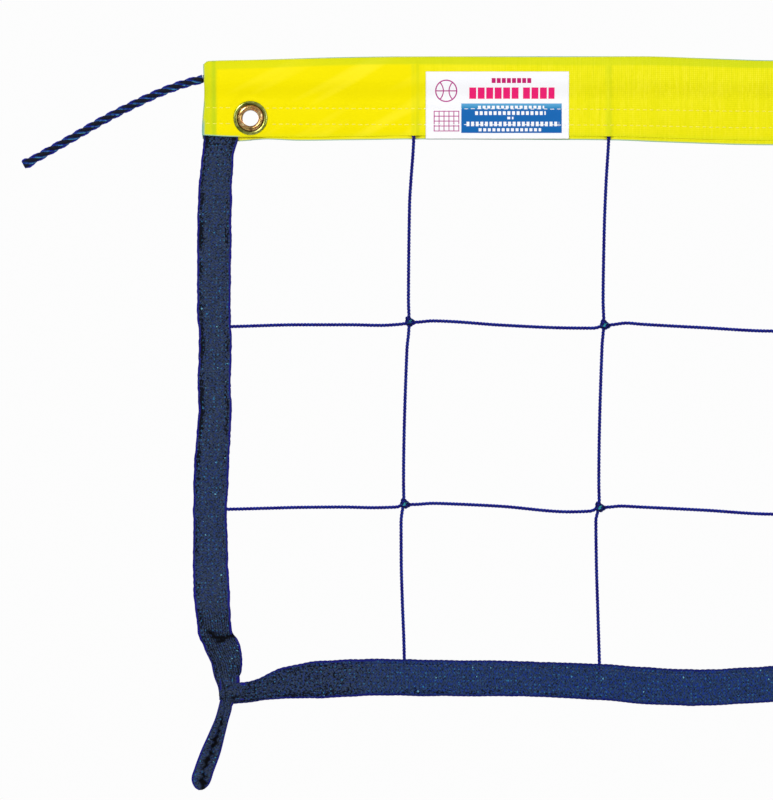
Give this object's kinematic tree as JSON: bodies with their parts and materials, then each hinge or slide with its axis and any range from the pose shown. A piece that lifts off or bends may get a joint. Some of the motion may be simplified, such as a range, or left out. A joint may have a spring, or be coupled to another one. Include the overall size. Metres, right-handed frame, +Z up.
{
  "type": "volleyball net",
  "caption": "Short hanging volleyball net with a folded yellow headband on a rope, brass grommets, knotted twine squares, dark folded edge tapes and corner tie loops.",
  "frame": {"origin": "on the top rope's axis at the middle of the net", "axes": "+X along the headband to the right as seen from the front, +Y away from the front, +Z up"},
  "size_m": [0.8842, 0.0078, 0.4755],
  "materials": {
    "rope": "twisted three-strand cord, slight sheen",
    "vinyl": "coated woven fabric, satin",
    "label": "coated cloth",
    "pale_thread": "sewing thread",
    "brass": "polished, slightly tarnished",
    "twine": "twisted twine",
    "tape": "woven, ribbed",
    "dark_thread": "sewing thread"
  },
  "bodies": {
    "rope": {"top_rope": "rope", "rope_tail_left": "rope", "rope_tail_right": "rope"},
    "headband": {"headband": "vinyl", "label": "label", "upper_seam": "pale_thread", "lower_seam": "pale_thread", "grommet_left": "brass", "grommet_right": "brass", "washer_left": "brass", "washer_right": "brass", "twine_ends": "twine", "tape_head_left": "tape", "tape_head_right": "tape"},
    "net": {"upright_twine_1": "twine", "upright_twine_2": "twine", "upright_twine_3": "twine", "upright_twine_4": "twine", "cross_twine_1": "twine", "cross_twine_2": "twine", "knots_row_1": "twine", "knots_row_2": "twine", "side_tape_left": "tape", "side_tape_right": "tape", "side_line_left": "twine", "side_line_right": "twine", "side_seam_left": "dark_thread", "side_seam_right": "dark_thread", "bottom_tape": "tape", "bottom_line": "twine", "bottom_seam": "dark_thread", "corner_knot_left": "tape", "corner_knot_right": "tape"},
    "loop_left": {"tie_loop_left": "tape"},
    "loop_right": {"tie_loop_right": "tape"}
  },
  "joints": [
    {"name": "headband_turn", "type": "hinge", "parent": "rope", "child": "headband", "pos_m": [0, 0, 0], "axis": [1, 0, 0], "range_deg": [-90, 90]},
    {"name": "net_swing", "type": "hinge", "parent": "headband", "child": "net", "pos_m": [0, 0, -0.04], "axis": [1, 0, 0], "range_deg": [-90, 90]},
    {"name": "loop_left_swing", "type": "hinge", "parent": "net", "child": "loop_left", "pos_m": [-0.3105, 0, -0.4045], "axis": [1, 0, 0], "range_deg": [-80, 80]},
    {"name": "loop_right_swing", "type": "hinge", "parent": "net", "child": "loop_right", "pos_m": [0.3105, 0, -0.4045], "axis": [1, 0, 0], "range_deg": [-80, 80]}
  ]
}
